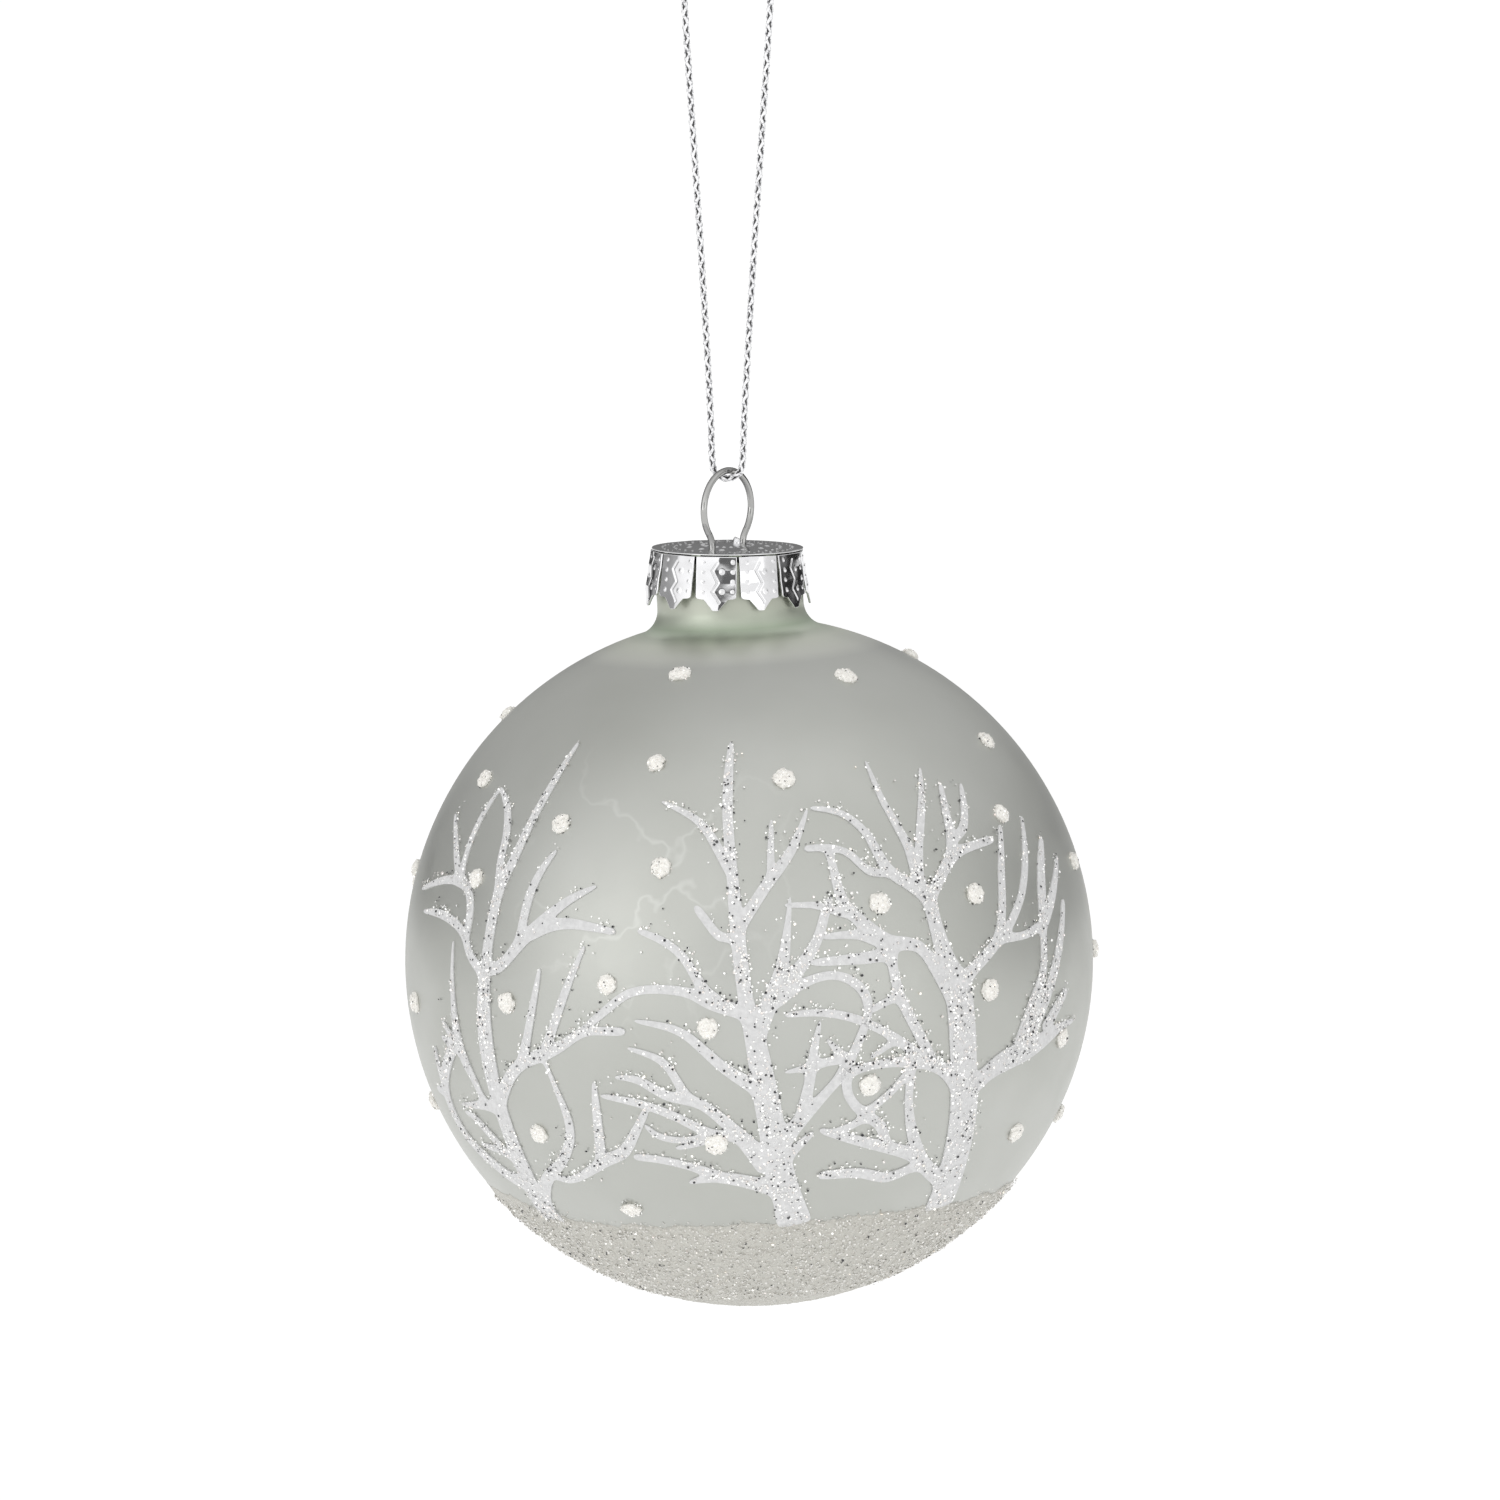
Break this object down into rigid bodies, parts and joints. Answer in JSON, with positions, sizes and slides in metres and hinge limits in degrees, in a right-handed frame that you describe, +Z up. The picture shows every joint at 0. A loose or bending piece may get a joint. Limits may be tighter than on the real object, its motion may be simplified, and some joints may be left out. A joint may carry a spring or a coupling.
{
  "type": "glass ball ornament",
  "caption": "Hollow frosted glass ball with a glittered tree print, a stamped crown cap, a wire ring and a loop of silver cord.",
  "frame": {"origin": "inside top of the cord loop, where the ornament hangs", "axes": "+Z up, -Y towards the viewer, +X to the viewer's right"},
  "size_m": [0.0807, 0.0808, 0.1768],
  "materials": {
    "frosted_glass": "satin",
    "print_paint": "matte",
    "glitter_snow": "sparkling, rough",
    "snow_blobs": "rough",
    "cap_metal": "polished",
    "wire_steel": "polished",
    "silver_cord": "metallic braid"
  },
  "bodies": {
    "cord": {"hanging_cord": "silver_cord", "cord_knot": "silver_cord"},
    "wire": {"hanger_wire": "wire_steel"},
    "cap": {"cap_crown": "cap_metal"},
    "ball": {"glass_ball": "frosted_glass", "snow_base": "glitter_snow", "tree_front_left": "print_paint", "tree_front_middle": "print_paint", "tree_front_right": "print_paint", "tree_back_left": "print_paint", "tree_back_middle": "print_paint", "tree_back_right": "print_paint", "snow_dots": "snow_blobs"}
  },
  "joints": [
    {"name": "swing", "type": "hinge", "parent": "cord", "child": "wire", "pos_m": [0, 0, -0.0788], "axis": [1, 0, 0], "range_deg": [-40, 40]},
    {"name": "cap_lift", "type": "slide", "parent": "wire", "child": "cap", "axis": [0, 0, 1], "range_m": [0, 0.001]},
    {"name": "pull_off", "type": "slide", "parent": "wire", "child": "ball", "axis": [0.0523, 0, -0.9986], "range_m": [0, 0.03]}
  ]
}
